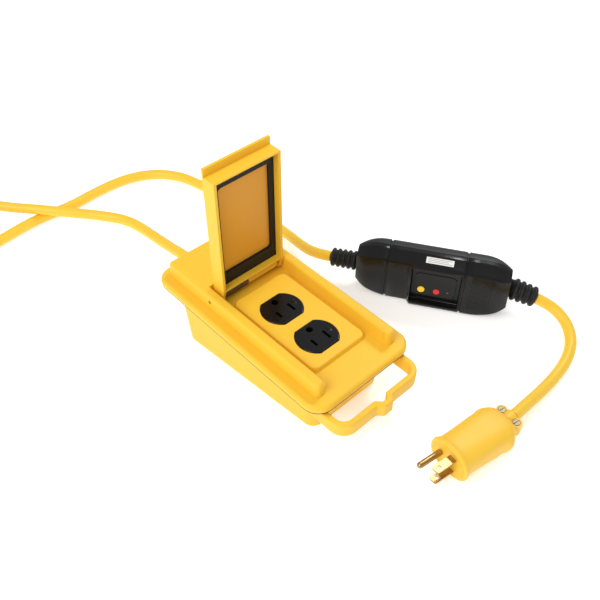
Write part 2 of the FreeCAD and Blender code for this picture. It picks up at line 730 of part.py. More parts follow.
def make_terminal_screws():
    spots = (-19.45, 19.45)
    brass = [make_side_screw("brass_screw%d" % number, 1, as_size(y), as_size(3.4)) for number,
             y in enumerate(spots)]
    silver = [make_side_screw("silver_screw%d" % number, -1, as_size(y), as_size(3.4)) for number,
              y in enumerate(spots)]
    keep("terminal_screws_hot", group("brass_set", brass))
    keep("terminal_screws_neutral", group("silver_set", silver))
    return keep("ground_screw", make_side_screw("green_screw", -1, as_size(-31.0), as_size(2.9)))


def make_yoke_screws():
    low = s.yoke_top - s.yoke_thick - 1.9
    screws = [make_screw("yoke_screw%d" % side, -s.outlet_shift, side * s.yoke_hole_pitch / 2, low,
                         as_size(1.35),
                         as_size(3.7), as_size(2.9), as_size(1.9)) for side in (-1, 1)]
    return keep("yoke_screws", group("yoke_screw_set", screws))


# ---------------------------------------------------- cord inlet of the box

def make_box_strain_relief():
    """A tapered rubber sleeve: flange inside the wall, neck through it, ribs outside."""
    inner_face = s.tub_rear_low - 3.6
    z = as_size(25)
    flange = rod("relief_flange", "y", (as_size(0), inner_face - 3, z), as_size(8.6), as_size(2.8))
    neck = rod("relief_neck", "y", (as_size(0), inner_face - 0.5, z), as_size(6.55), as_size(9))
    sleeve = cone("relief_sleeve", "y", (as_size(0), s.tub_rear_low + 3.0, z), as_size(8.4), as_size(5.9),
                  as_size(26.5))
    solid = fuse("relief_solid", [flange, neck, sleeve])
    bore = rod("relief_bore", "y", (as_size(0), inner_face - 5, z), s.cord_radius, as_size(38.1))
    return keep("box_strain_relief", cut("relief_cut", solid, [bore]))


def make_cord_clamp():
    """A bar that holds the jacket down on the tub floor posts."""
    bar = box("clamp_bar", (as_size(-13), as_size(66), as_size(29.6)),
              (as_size(13), as_size(74), as_size(32.4)))
    saddle = rod("clamp_saddle", "y", (as_size(0), as_size(65), as_size(25)), s.cord_radius + 0.4, as_size(10))
    holes = [rod("clamp_hole%d" % side, "z", (as_size(side * 9.5), as_size(70), as_size(28)), as_size(1.8),
                 as_size(6))
             for side in (-1, 1)]
    keep("cord_clamp", cut("clamp_cut", bar, [saddle] + holes))
    screws = []
    for side in (-1, 1):
        head = rod("clamp_screw_head%d" % side, "z", (as_size(side * 9.5), as_size(70), as_size(32.5)),
                   as_size(3), as_size(2))
        shank = rod("clamp_screw_shank%d" % side, "z", (as_size(side * 9.5), as_size(70), as_size(22)),
                    as_size(1.5), as_size(10.6))
        screws.append(fuse("clamp_screw%d" % side, [head, shank]))
    return keep("clamp_screws", group("clamp_screw_set", screws))


# ------------------------------------------------------------------- cords

def joined_runs(points):
    """Straight runs joined by tangent arcs, with each arc's radius."""
    spots = [Vector(*point) for point in points]
    edges = []
    radii = []
    start = spots[0]
    for before, corner, after in zip(spots, spots[1:], spots[2:]):
        inward = corner - before
        outward = after - corner
        reach = 0.45 * min(inward.Length, outward.Length)
        turn = inward.getAngle(outward)
        radii.append(reach / math.tan(turn / 2))
        inward.normalize()
        outward.normalize()
        arc_start = corner - inward * reach
        arc_end = corner + outward * reach
        to_middle = outward - inward
        to_middle.normalize()
        middle = corner + to_middle * (radii[-1] * (1 / math.cos(turn / 2) - 1))
        edges.append(Part.LineSegment(start, arc_start).toShape())
        edges.append(Part.Arc(arc_start, middle, arc_end).toShape())
        start = arc_end
    edges.append(Part.LineSegment(start, spots[-1]).toShape())
    return Part.Wire(edges), radii


def make_tube(name, points, radius):
    """A round cord swept along its route."""
    route = doc.addObject("Part::Feature", name + "_route")
    route.Shape, radii = joined_runs(points)
    section = doc.addObject("Part::Circle", name + "_section")
    bind(section, "Radius", radius)
    along = Vector(*points[1]) - Vector(*points[0])
    section.Placement = Placement(Vector(*points[0]), Rotation(Vector(0, 0, 1), along))
    tube = doc.addObject("Part::Sweep", name + "_tube")
    tube.Sections = [section]
    tube.Spine = (route, [])
    tube.Solid = True
    tube.Frenet = False
    doc.recompute()
    expected = math.pi * as_size(radius).number ** 2 * route.Shape.Length
    print("%s: length %.0f mm, smallest bend %.1f mm, volume ratio %.3f"
          % (name, route.Shape.Length, min(radii), tube.Shape.Volume / expected))
    return keep(name, tube)


BOX_SIDE_ROUTE = [
    (0, 120, 25), (0, 143, 22.5), (0, 180, 15.5), (2, 215, 8.5), (0.5, 245, 5.4), (-15, 269, 6),
    (-37, 287, 10.5), (-60, 308, 15), (-82, 332, 15.6), (-104, 357, 21.5), (-123, 375.9, 29.6)]

GFCI_SIDE_ROUTE = [
    (93.3, 60.8, 23.5), (89.7, 72.9, 20.6), (89.7, 87.3, 16.4), (92.9, 102.3, 12), (96.9, 121.4, 8.2),
    (98.7, 147, 5.6), (97.8, 177, 4.9), (94, 208, 4.9), (87, 240, 4.9), (80.5, 270, 4.9), (62.5, 292.5, 4.9),
    (36.5, 304.3, 4.9), (5, 306, 4.9), (-28, 303, 4.9), (-64, 308, 4.9), (-98, 304, 4.9), (-129, 300.5, 4.9),
    (-158, 300, 4.9)]

PLUG_SIDE_ROUTE = [
    (186.8, -90, 18.5), (191.3, -99, 15.6), (192.6, -109.8, 12.4), (190, -120.3, 9.4), (183.9, -129.2, 7),
    (175, -136, 5.5), (163.8, -140.9, 5), (149.8, -144.4, 5), (131.5, -146.6, 5.3), (113, -147.9, 7.6),
    (94.3, -148.8, 11.2), (74.9, -149.6, 13.9)]


def make_coil():
    """The spare length wound flat, as one closed ring around all its turns."""
    middle = (as_size(-158), as_size(346), as_size(0))
    tall = 2 * s.cord_radius * (s.coil_turns + 1)
    outer = rod("coil_outer", "z", middle, s.coil_radius + s.cord_radius, tall)
    inner = rod("coil_inner", "z", middle, s.coil_radius - s.cord_radius, tall)
    ring = cut("coil_ring", outer, [inner])
    return keep("cord_coil", rounded("coil_rounded", ring, s.cord_radius * 0.9,
                                     lambda edge: abs(edge.BoundBox.ZMin) < 0.1 or edge.BoundBox.ZMin > 25))


# ------------------------------------------------------------ ground-fault module

def module_place():
    """The module lies on the floor, turned with its long side facing the handle end."""
    return Placement(Vector(140, -12.5, 0), Rotation(Vector(0, 0, 1), -57.5))


def module_piece(name, item):
    """A piece drawn in the module's own frame (x long, y away from its panel) and then laid down."""
    holder = doc.addObject("Part::Compound", name + "_laid")
    holder.Links = [item]
    holder.Placement = module_place()
    return keep(name, holder)


# The housing's section, (y, z): slimmer from the line end to the panel, then with its foot brought forward.
SLIM_SECTION = [(-12, 0), (12, 0), (15, 4), (15, 40), (10, 47), (-4, 47), (-6, 45.5), (-15, 43.5), (-15, 3)]
FULL_SECTION = [(-16, 0.3), (12, 0), (15, 4), (15, 40), (10, 47), (-4, 47), (-6, 45.5), (-15.6, 43.5),
                (-18.8, 3)]
SLIM_TO = -15.0
MODULE_FRONT = -20.0


def module_bar(name, section, start, end, inset):
    """One stretch of the housing's section, drawn smaller by an inset."""
    shrunk = [(y + (inset if y < 0 else -inset), z + (inset if z < 24 else -inset)) for y, z in section]
    return prism(name, "YZ", [(as_size(y), as_size(z)) for y, z in shrunk], start, end - start)


def module_shape(name, front, rear, inset):
    """The housing between two planes of y, drawn smaller by an inset, with tapered ends."""
    left = inset - s.module_line_end
    right = s.module_load_end - inset
    slim = module_bar(name + "_slim", SLIM_SECTION, left, right, inset)
    full = module_bar(name + "_full", FULL_SECTION, as_size(SLIM_TO) + inset, right, inset)
    base = as_size(0) + inset
    crown = as_size(48) - inset
    side_outline = [(left, as_size(12)), (left + 10, as_size(3) + inset), (left + 26, base), (right - 26, base),
                    (right - 10, as_size(3) + inset), (right, as_size(12)), (right,
                        as_size(39)), (right - 10, crown),
                    (left + 10, crown), (left, as_size(39))]
    side_view = prism(name + "_ends", "XZ", side_outline, as_size(-22), as_size(44))
    plan_outline = [(left, as_size(-12)), (left + 8, as_size(-20)), (right - 9, as_size(-20)),
                    (right, as_size(-12)),
                    (right, as_size(6)), (right - 20, as_size(16)), (left + 20, as_size(16)), (left,
                        as_size(6))]
    plan_view = prism(name + "_corners", "XY", plan_outline, as_size(-1), as_size(52))
    slab = box(name + "_slab", (as_size(-80), as_size(front), as_size(-1)),
               (as_size(80), as_size(rear), as_size(52)))
    return common(name, [fuse(name + "_bars", [slim, full]), side_view, plan_view, slab])


def make_module_housings():
    split = 2.0
    shell = module_shape("front_shell", MODULE_FRONT, split - 0.05, as_size(0.0))
    posts = [rod("module_post%d" % number, "y", (as_size(x), as_size(-13.6), as_size(z)), as_size(3),
                 as_size(15.5))
             for number, (x, z) in enumerate(MODULE_SCREWS)]
    front_room = module_shape("front_room", -13, split + 1, as_size(2.5))
    rear = module_shape("rear_shell", split + 0.05, 16, as_size(0.0))
    rear_room = module_shape("rear_room", split - 1, 12.6, as_size(2.5))
    recess = box("panel_recess", (as_size(PANEL_FROM - 0.3), as_size(MODULE_FRONT), as_size(4.5)),
                 (as_size(PANEL_TO + 0.3), as_size(-11.6), as_size(42)))
    grooves = []
    for number, x in enumerate(GROOVES):
        groove = module_shape("groove%d" % number, MODULE_FRONT - 2, 18, as_size(-1))
        inner = module_shape("groove_core%d" % number, MODULE_FRONT, 16, as_size(0.7))
        band = box("groove_band%d" % number, (as_size(x - 0.6), as_size(-24), as_size(-2)),
                   (as_size(x + 0.6), as_size(24), as_size(60)))
        grooves.append(common("groove_cut%d" % number, [cut("groove_shell%d" % number, groove, [inner]), band]))
    ports = [rod("port%d" % side, "x", (as_size(-68 if side < 0 else 55), as_size(0), as_size(23.5)),
                 as_size(7.05), as_size(15))
             for side in (-1, 1)]
    module_piece("gfci_front_housing", cut("front_cut",
                                           fuse("front_with_posts",
                                                [cut("front_hollow", shell, [front_room])] + posts),
                                            [recess] + ports + grooves + screw_holes("front", -12.6, 1.22)))
    module_piece("gfci_rear_housing", cut("rear_cut", rear, [rear_room] + ports + grooves
                                           + screw_holes("rear", 10, 1.4) + screw_holes("counterbore", 13.6,
                                               2.8)))


MODULE_SCREWS = [(-48, 12), (50, 12), (-48, 36), (50, 36)]


def screw_holes(name, start, radius):
    return [rod("%s_hole%d" % (name, number), "y", (as_size(x), as_size(start), as_size(z)),
                as_size(radius), as_size(16))
            for number, (x, z) in enumerate(MODULE_SCREWS)]


# Grooves round the housing, one beyond each end of the panel.
GROOVES = (-36.0, 29.2)

# The inset panel runs between these two places along the module.
PANEL_FROM = -14.6
PANEL_TO = 27.4

# Each button: how far along the panel it sits, and its radius.
BUTTONS = {"yellow_button": (-5.2, 3.1), "red_button": (7.9, 2.9)}
INDICATOR_ALONG = 17.4


def make_module_panel():
    """The inset panel with holes for the two buttons and the indicator, and two rows of vents."""
    plate = box("panel_plate", (as_size(PANEL_FROM), as_size(-13.5), as_size(4.8)),
                (as_size(PANEL_TO), as_size(-11.9), as_size(41.7)))
    holes = [rod("hole_" + name, "y", (as_size(x), as_size(-15), as_size(17)), as_size(radius + 0.35),
                 as_size(5))
             for name, (x, radius) in BUTTONS.items()]
    holes.append(rod("hole_indicator", "y", (as_size(INDICATOR_ALONG), as_size(-15), as_size(17)),
                     as_size(0.85), as_size(5)))
    holes.append(box("vent_high", (as_size(-9), as_size(-14), as_size(37)),
                     (as_size(20), as_size(-12.9), as_size(39))))
    holes.append(box("vent_low", (as_size(-9), as_size(-14), as_size(5.6)),
                     (as_size(20), as_size(-12.9), as_size(7.2))))
    module_piece("gfci_panel", cut("panel_cut", plate, holes))


def make_module_buttons():
    for name, (x, radius) in BUTTONS.items():
        cap = rod(name + "_cap", "y", (as_size(x), as_size(-15.1), as_size(17)), as_size(radius), as_size(4.7))
        crown = rounded(name + "_crown", cap, 0.5, lambda edge: edge.BoundBox.YMax < -15.0)
        skirt = rod(name + "_skirt", "y", (as_size(x), as_size(-11.5), as_size(17)), as_size(radius + 1.1),
                    as_size(1.2))
        stem = rod(name + "_stem", "y", (as_size(x), as_size(-10.6), as_size(17)), as_size(1.0), as_size(1.8))
        module_piece(name, fuse(name + "_solid", [crown, skirt, stem]))


def make_module_insides():
    """Board, sensing coil, trip solenoid, contact leaves, indicator and its blank plate."""
    module_piece("indicator_lens", rod("lens", "y", (as_size(INDICATOR_ALONG), as_size(-13.8), as_size(17)),
                                       as_size(0.8), as_size(6)))
    board = box("board", (as_size(-44), as_size(-3), as_size(8)), (as_size(44), as_size(-1.4), as_size(38)))
    module_piece("circuit_board", board)
    ring = rod("core_outer", "x", (as_size(-38), as_size(5.5), as_size(23.5)), as_size(6.8), as_size(9))
    hole = rod("core_inner", "x", (as_size(-39), as_size(5.5), as_size(23.5)), as_size(4.9), as_size(11))
    module_piece("sensing_coil", cut("core", ring, [hole]))
    bobbin = rod("bobbin", "x", (as_size(8), as_size(5.3), as_size(23.5)), as_size(5.6), as_size(18))
    plunger = rod("plunger", "x", (as_size(3), as_size(5.3), as_size(23.5)), as_size(1.9), as_size(6))
    module_piece("trip_solenoid", fuse("solenoid", [bobbin, plunger]))
    leaves = []
    for name, (x, radius) in BUTTONS.items():
        leaves.append(box("leaf_" + name, (as_size(x - 2), as_size(-5.6), as_size(12)),
                          (as_size(x + 2), as_size(-5.2), as_size(25))))
        leaves.append(box("leaf_foot_" + name, (as_size(x - 2), as_size(-5.6), as_size(10.8)),
                          (as_size(x + 2), as_size(-3.1), as_size(12))))
    pairs = [fuse("leaf_pair%d" % number, leaves[2 * number:2 * number + 2]) for number in range(2)]
    module_piece("button_leaves", group("leaf_set", pairs))


def make_module_screws():
    screws = []
    for number, (x, z) in enumerate(MODULE_SCREWS):
        head = rod("module_head%d" % number, "y", (as_size(x), as_size(13.6), as_size(z)), as_size(2.6),
                   as_size(1.2))
        shank = rod("module_shank%d" % number, "y", (as_size(x), as_size(-6.0), as_size(z)), as_size(1.2),
                    as_size(20))
        screws.append(fuse("module_screw%d" % number, [head, shank]))
    module_piece("gfci_screws", group("module_screw_set", screws))


def make_module_reliefs():
    """Rubber sleeves moulded onto the cord, each with a neck held in the module's end wall."""
    ends = (("strain_relief_line", -1, 8.4, 7.8, 23.5, Placement(Vector(-63.7, 0, 23.5), Rotation(180, 0, 0))),
            ("strain_relief_load", 1, 9.6, 8.4, 21.5, None))
    for name, side, near_radius, far_radius, length, place in ends:
        sleeve = sleeve_solid(name + "_sleeve", near_radius, far_radius, length)
        if place is None:
            sleeve.Placement = Placement(Vector(177.2, -70.6, 22.95), Rotation(-61.5, 12, 0))
        else:
            sleeve.Placement = module_place().multiply(place)
        neck = rod(name + "_neck", "x", (as_size(-66 if side < 0 else 63), as_size(0), as_size(23.5)),
                   as_size(7.0), as_size(7))
        holder = doc.addObject("Part::Compound", name + "_neck_laid")
        holder.Links = [neck]
        holder.Placement = module_place()
        keep(name, fuse(name + "_solid", [sleeve, holder]))


def sleeve_solid(name, near_radius, far_radius, length):
    """A tapered sleeve along its own x axis."""
    outline = [(0.0, 0.0), (0.0, near_radius), (length, far_radius), (length, 0.0)]
    return spun_body(name, [(as_size(x), as_size(radius)) for x, radius in outline])


# -------------------------------------------------------------------- plug

def plug_place():
    """The plug lies on the floor with its contacts toward the handle end of the box."""
    return Placement(Vector(9.4, -141.6, 15.5), Rotation(-7, 1.4, 0))


def plug_piece(name, item):
    holder = doc.addObject("Part::Compound", name + "_laid")
    holder.Links = [item]
    holder.Placement = plug_place()
    return keep(name, holder)


PLUG_STATIONS = [(0, 17.9), (2.2, 18.2), (7, 16.5), (22, 16.2), (40, 16.6), (45, 17.8), (51, 18),
                 (54.5, 15.5), (56, 11)]
PLUG_FLATNESS = 0.78
BLADE_LINE = -3.8


def make_plug_body():
    """An oval body with a flared face and a slight waist, lofted through oval sections."""
    sections = []
    for number, (along, half_width) in enumerate(PLUG_STATIONS):
        oval = doc.addObject("Part::Ellipse", "plug_section%d" % number)
        bind(oval, "MajorRadius", half_width)
        bind(oval, "MinorRadius", half_width * PLUG_FLATNESS)
        oval.Placement = Placement(Vector(along, 0, 0),
                                   Rotation(Vector(0, 1, 0), Vector(0, 0, 1), Vector(1, 0, 0), "ZXY"))
        sections.append(oval)
    shell = doc.addObject("Part::Loft", "plug_shell")
    shell.Sections = sections
    shell.Solid = True
    shell.Ruled = True
    return plug_piece("plug_body", shell)


def make_plug_contacts():
    """Two flat blades with a hole near the tip, and a round ground pin."""
    for name, side in (("blade_hot", 1), ("blade_neutral", -1)):
        middle = side * s.blade_pitch / 2
        blade = box(name + "_bar", (as_size(-17.5), as_size(BLADE_LINE - 3.2), middle - 0.75),
                    (as_size(0), as_size(BLADE_LINE + 3.2), middle + 0.75))
        blade = rounded(name + "_tip", blade, 1.8,
                        lambda edge: edge.BoundBox.XMax < -10 and edge.BoundBox.ZLength > 1)
        hole = rod(name + "_eye", "z", (as_size(-13), as_size(BLADE_LINE), middle - 2), as_size(1.5),
                   as_size(4))
        plug_piece(name, cut(name + "_cut", blade, [hole]))
    pin = rod("ground_bar", "x", (as_size(-21.5), s.ground_offset + BLADE_LINE, as_size(0)), as_size(2.4),
              as_size(21.5))
    plug_piece("ground_pin", rounded("ground_tip", pin, 2.3, lambda edge: edge.BoundBox.XMax < -20))


CLAMP_MIDDLE = 60.6
CLAMP_LOBE_SPREAD = 7.2
CLAMP_LOBE_RADIUS = 4.4
CLAMP_TOP = 5.2


def make_plug_clamp():
    """A bar across the jacket with a round lobe and a screw on each side of it."""
    lobes = []
    heads = []
    for side in (-1, 1):
        y = as_size(side * CLAMP_LOBE_SPREAD)
        lobes.append(rod("clamp_lobe%d" % side, "z", (as_size(CLAMP_MIDDLE), y, as_size(-CLAMP_TOP)),
                         as_size(CLAMP_LOBE_RADIUS), as_size(2 * CLAMP_TOP)))
        heads.append(rod("clamp_recess%d" % side, "z", (as_size(CLAMP_MIDDLE), y, as_size(CLAMP_TOP - 1)),
                         as_size(3.1), as_size(2)))
        heads.append(rod("clamp_bore%d" % side, "z", (as_size(CLAMP_MIDDLE), y, as_size(-CLAMP_TOP - 1)),
                         as_size(1.4), as_size(2 * CLAMP_TOP)))
    ridge = rod("clamp_ridge", "x", (as_size(56.1), as_size(0), as_size(0)), as_size(7.0), as_size(8.4))
    plug_piece("plug_clamp", cut("clamp_cut", fuse("clamp_solid", lobes + [ridge]), heads))
    screws = []
    for side in (-1, 1):
        y = as_size(side * CLAMP_LOBE_SPREAD)
        head = rod("clamp_screw_head%d" % side, "z", (as_size(CLAMP_MIDDLE), y, as_size(CLAMP_TOP - 0.9)),
                   as_size(2.7), as_size(1.1))
        shank = rod("clamp_screw_shank%d" % side, "z", (as_size(CLAMP_MIDDLE), y, as_size(1 - CLAMP_TOP)),
                    as_size(1.2), as_size(2 * CLAMP_TOP - 1.9))
        slot = box("clamp_screw_slot%d" % side, (as_size(CLAMP_MIDDLE - 3), y - 0.4, as_size(CLAMP_TOP - 0.4)),
                   (as_size(CLAMP_MIDDLE + 3), y + 0.4, as_size(CLAMP_TOP + 1)))
        screws.append(cut("clamp_screw%d" % side, fuse("clamp_screw_solid%d" % side, [head, shank]), [slot]))
    plug_piece("plug_clamp_screws", group("clamp_screw_set", screws))


# ----------------------------------------------------- cord end inside the box

def make_cord_end():
    """The straight end of the jacket, from inside the tub out through its sleeve."""
    return keep("cord_box_end", rod("jacket_end", "y", (as_size(0), as_size(62), as_size(25)),
                                    s.cord_radius, as_size(58)))


LEAD_ROUTES = {
    "lead_hot": [(2, 62, 25), (4, 52, 26), (12, 43, 28), (20, 33, 31), (20.5, 20, 33)],
    "lead_neutral": [(-2, 62, 25), (-6, 52, 26), (-16, 43, 28), (-25, 33, 31), (-25.5, 20, 33)],
    "lead_ground": [(0, 62, 22.9), (-4, 51, 20), (-14, 43, 18), (-23, 34, 22), (-26, 22, 19)],
}


def build_all():
    make_cover()
    make_tub()
    make_seal()
    make_cover_screws()
    make_lid()
    make_lid_gasket()
    make_lid_panel()
    make_hinge_pin()
    make_spring()
    make_receptacle_face()
    make_receptacle_yoke()
    make_receptacle_body()
    make_contact("contact_hot", 1)
    make_contact("contact_neutral", -1)
    make_ground_contact()
    make_terminal_screws()
    make_yoke_screws()
    make_box_strain_relief()
    make_cord_clamp()
    make_cord_end()
    for name, route in LEAD_ROUTES.items():
        make_tube(name, route, s.lead_radius)
    make_module_housings()
    make_module_panel()
    make_module_buttons()
    make_module_insides()
    make_module_screws()
    make_module_reliefs()
    make_plug_body()
    make_plug_contacts()
    make_plug_clamp()
    make_tube("cord_box_side", BOX_SIDE_ROUTE, s.cord_radius)
    make_tube("cord_gfci_side", GFCI_SIDE_ROUTE, s.cord_radius)
    make_tube("cord_plug_side", PLUG_SIDE_ROUTE, s.cord_radius)
    make_coil()
    doc.recompute()


def export_all():
    """Check every piece and write it under its own name."""
    for item in doc.Objects:
        if "Invalid" in item.State or "Error" in item.State:
            raise RuntimeError("%s did not recompute: %s" % (item.Name, item.State))
    for name, item in sorted(parts.items()):
        if item.Shape.isNull() or not item.Shape.isValid():
            raise RuntimeError("%s has no valid shape" % name)
        item.Shape.exportStep("parts/%s.step" % name)
        print("%-24s %9.0f mm3, %d solids" % (name, item.Shape.Volume, len(item.Shape.Solids)))


build_all()
export_all()
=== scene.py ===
import bpy
import bmesh
import json
import math
from mathutils import Matrix, Vector


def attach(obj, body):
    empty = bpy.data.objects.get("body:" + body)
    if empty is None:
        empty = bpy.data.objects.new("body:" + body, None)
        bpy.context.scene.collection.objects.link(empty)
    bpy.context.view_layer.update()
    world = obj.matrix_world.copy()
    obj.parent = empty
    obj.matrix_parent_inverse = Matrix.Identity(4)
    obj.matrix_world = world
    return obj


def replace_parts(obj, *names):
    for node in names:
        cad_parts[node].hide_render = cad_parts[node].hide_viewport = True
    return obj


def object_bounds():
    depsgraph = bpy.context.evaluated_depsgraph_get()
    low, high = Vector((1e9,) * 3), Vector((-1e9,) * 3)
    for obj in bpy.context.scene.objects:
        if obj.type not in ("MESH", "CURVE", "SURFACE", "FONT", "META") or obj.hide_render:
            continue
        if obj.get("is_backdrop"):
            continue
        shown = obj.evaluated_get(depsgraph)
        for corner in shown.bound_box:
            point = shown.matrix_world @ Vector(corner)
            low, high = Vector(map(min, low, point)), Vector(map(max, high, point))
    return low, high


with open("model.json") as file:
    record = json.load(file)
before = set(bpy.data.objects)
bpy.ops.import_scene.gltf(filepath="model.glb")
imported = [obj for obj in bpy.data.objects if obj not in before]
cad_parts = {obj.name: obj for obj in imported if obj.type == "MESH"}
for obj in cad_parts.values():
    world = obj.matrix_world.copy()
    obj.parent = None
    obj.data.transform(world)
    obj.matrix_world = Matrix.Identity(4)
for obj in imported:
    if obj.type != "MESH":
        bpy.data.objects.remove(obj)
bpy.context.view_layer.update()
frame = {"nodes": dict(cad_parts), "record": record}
nodes = frame["nodes"]
MM = 0.001


# ------------------------------------------------------------------ camera

camera_data = bpy.data.cameras.new("camera")
camera_data.lens = 46.79
camera_data.sensor_width = 36.0
camera_data.clip_start = 0.01
camera_data.clip_end = 20.0
camera = bpy.data.objects.new("camera", camera_data)
camera.location = (-276.4 * MM, -296.8 * MM, 484.3 * MM)
camera.rotation_euler = (math.radians(44.9), 0.0, math.radians(-42.8))
bpy.context.scene.collection.objects.link(camera)
bpy.context.scene.camera = camera


# ------------------------------------------------------------------- cords

CORD_RADIUS = 4.7
COIL_MIDDLE = (-158.0, 346.0)
COIL_RADIUS = 46.0
COIL_START = 40.5
COIL_END = 990.0
COIL_STEPS_PER_TURN = 16
COIL_LOW = 4.9
COIL_TOP = 29.6

BOX_SIDE_ROUTE = [
    (0, 120, 25), (0, 143, 22.5), (0, 180, 15.5), (2, 215, 8.5), (0.5, 245, 5.4), (-15, 269, 6),
    (-37, 287, 10.5), (-60, 308, 15), (-82, 332, 15.6), (-104, 357, 21.5)]

GFCI_SIDE_ROUTE = [
    (93.3, 60.8, 23.5), (89.7, 72.9, 20.6), (89.7, 87.3, 16.4), (92.9, 102.3, 12), (96.9, 121.4, 8.2),
    (98.7, 147, 5.6), (97.8, 177, 4.9), (94, 208, 4.9), (87, 240, 4.9), (80.5, 270, 4.9), (62.5, 292.5, 4.9),
    (36.5, 304.3, 4.9), (5, 306, 4.9), (-28, 303, 4.9), (-64, 308, 4.9), (-98, 304, 4.9), (-129, 300.5, 4.9)]

PLUG_SIDE_ROUTE = [
    (186.8, -90, 18.5), (191.3, -99, 15.6), (192.6, -109.8, 12.4), (190, -120.3, 9.4), (183.9, -129.2, 7),
    (175, -136, 5.5), (163.8, -140.9, 5), (149.8, -144.4, 5), (131.5, -146.6, 5.3), (113, -147.9, 7.6),
    (94.3, -148.8, 11.2), (74.9, -149.6, 13.9)]


def coil_points():
    """Turns wound down onto the floor, each one cord's width below the last."""
    steps = int(round((COIL_END - COIL_START) / 360.0 * COIL_STEPS_PER_TURN))
    reach = COIL_RADIUS / (0.75 + 0.25 * math.cos(2 * math.pi / COIL_STEPS_PER_TURN))
    points = []
    for step in range(steps + 1):
        share = step / steps
        angle = math.radians(COIL_START + (COIL_END - COIL_START) * share)
        height = COIL_TOP + (COIL_LOW - COIL_TOP) * share
        points.append((COIL_MIDDLE[0] + reach * math.cos(angle),
                       COIL_MIDDLE[1] + reach * math.sin(angle), height))
    return points


def cord_curve(name, points, radius):
    data = bpy.data.curves.new(name, "CURVE")
    data.dimensions = "3D"
    data.resolution_u = 12
    data.bevel_depth = radius * MM
    data.bevel_resolution = 8
    data.use_fill_caps = True
    spline = data.splines.new("NURBS")
    spline.points.add(len(points) - 1)
    for knot, (x, y, z) in zip(spline.points, points):
        knot.co = (x * MM, y * MM, z * MM, 1.0)
    spline.order_u = 3
    spline.use_endpoint_u = True
    curve = bpy.data.objects.new(name, data)
    bpy.context.scene.collection.objects.link(curve)
    return curve


main_cord = cord_curve("main_cord", BOX_SIDE_ROUTE + coil_points() + GFCI_SIDE_ROUTE[::-1], CORD_RADIUS)
plug_cord = cord_curve("plug_cord", PLUG_SIDE_ROUTE, CORD_RADIUS)
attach(main_cord, "box")
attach(plug_cord, "box")
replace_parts(main_cord, "cord_box_side", "cord_coil", "cord_gfci_side")
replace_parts(plug_cord, "cord_plug_side")


# --------------------------------------------------------------- materials

SHADE_DRIFT = 0.04
SCATTER_REACH = (0.004, 0.0025, 0.0008)
DRAWN_LINES = (1.0, 1.0, 14.0)


def new_material(name):
    material = bpy.data.materials.new(name)
    material.use_nodes = True
    tree = material.node_tree
    return material, tree.nodes, tree.links, tree.nodes["Principled BSDF"]


def moulded(name, color, roughness, grain, depth, shine=0.5, scatter=0.0):
    """A moulded plastic or rubber: fine grain in the surface and slow drifts of gloss and shade."""
    material, tree, links, shader = new_material(name)
    place = tree.new("ShaderNodeTexCoord")
    fine = tree.new("ShaderNodeTexNoise")
    fine.inputs["Scale"].default_value = grain
    fine.inputs["Detail"].default_value = 4.0
    slow = tree.new("ShaderNodeTexNoise")
    slow.inputs["Scale"].default_value = 22.0
    slow.inputs["Detail"].default_value = 2.0
    links.new(place.outputs["Object"], fine.inputs["Vector"])
    links.new(place.outputs["Object"], slow.inputs["Vector"])
    shade = tree.new("ShaderNodeMix")
    shade.data_type = "RGBA"
    shade.inputs["A"].default_value = tuple(c * (1 - SHADE_DRIFT) for c in color) + (1.0,)
    shade.inputs["B"].default_value = tuple(min(1.0, c * (1 + SHADE_DRIFT)) for c in color) + (1.0,)
    links.new(slow.outputs["Fac"], shade.inputs["Factor"])
    links.new(shade.outputs["Result"], shader.inputs["Base Color"])
    gloss = tree.new("ShaderNodeMapRange")
    gloss.inputs["To Min"].default_value = roughness - 0.04
    gloss.inputs["To Max"].default_value = roughness + 0.06
    links.new(fine.outputs["Fac"], gloss.inputs["Value"])
    links.new(gloss.outputs["Result"], shader.inputs["Roughness"])
    bump = tree.new("ShaderNodeBump")
    bump.inputs["Strength"].default_value = 0.35
    bump.inputs["Distance"].default_value = depth
    links.new(fine.outputs["Fac"], bump.inputs["Height"])
    links.new(bump.outputs["Normal"], shader.inputs["Normal"])
    shader.inputs["Specular IOR Level"].default_value = shine
    shader.inputs["Subsurface Weight"].default_value = scatter
    shader.inputs["Subsurface Radius"].default_value = SCATTER_REACH
    return material


def metal(name, color, roughness):
    """A drawn or turned metal with faint lines along the working direction."""
    material, tree, links, shader = new_material(name)
    place = tree.new("ShaderNodeTexCoord")
    mapping = tree.new("ShaderNodeMapping")
    mapping.inputs["Scale"].default_value = DRAWN_LINES
    lines = tree.new("ShaderNodeTexNoise")
    lines.inputs["Scale"].default_value = 320.0
    lines.inputs["Detail"].default_value = 5.0
    links.new(place.outputs["Object"], mapping.inputs["Vector"])
    links.new(mapping.outputs["Vector"], lines.inputs["Vector"])
    gloss = tree.new("ShaderNodeMapRange")
    gloss.inputs["To Min"].default_value = roughness - 0.06
    gloss.inputs["To Max"].default_value = roughness + 0.10
    links.new(lines.outputs["Fac"], gloss.inputs["Value"])
    links.new(gloss.outputs["Result"], shader.inputs["Roughness"])
    bump = tree.new("ShaderNodeBump")
    bump.inputs["Strength"].default_value = 0.25
    bump.inputs["Distance"].default_value = 0.00005
    links.new(lines.outputs["Fac"], bump.inputs["Height"])
    links.new(bump.outputs["Normal"], shader.inputs["Normal"])
    shader.inputs["Base Color"].default_value = color + (1.0,)
    shader.inputs["Metallic"].default_value = 1.0
    return material


